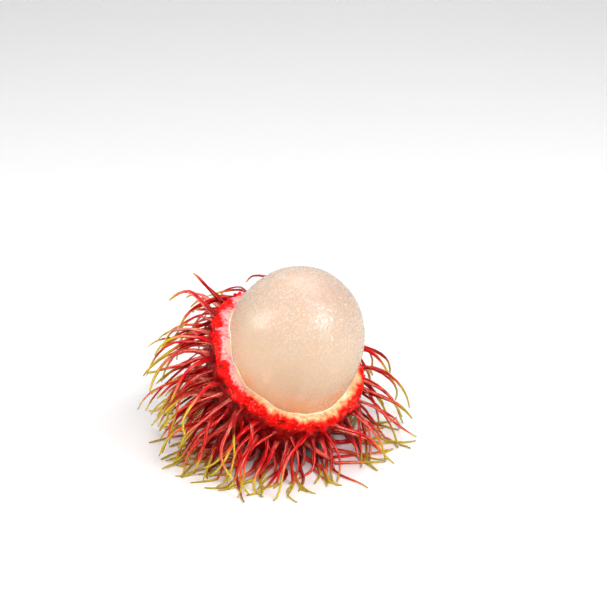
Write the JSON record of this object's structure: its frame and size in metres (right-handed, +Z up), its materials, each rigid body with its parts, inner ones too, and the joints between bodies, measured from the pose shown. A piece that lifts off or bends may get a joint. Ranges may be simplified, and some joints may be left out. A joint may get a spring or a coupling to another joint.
{
  "type": "half-peeled rambutan",
  "caption": "Tropical fruit with the upper rind torn away: a pale egg-shaped aril seated in a cup of red rind with long soft curving spines.",
  "frame": {"origin": "centre of the small flat spot that the fruit rests on", "axes": "+Z up; the bare aril leans towards +X and -Y, and -Y faces the viewer"},
  "size_m": [0.0682, 0.069, 0.0497],
  "materials": {
    "rind_skin": "waxy red skin with soft spines that turn yellow-green at the tips, cream torn edge",
    "aril_flesh": "moist translucent peach-white flesh"
  },
  "bodies": {
    "root": {"rind": "rind_skin", "aril": "aril_flesh"}
  },
  "joints": []
}
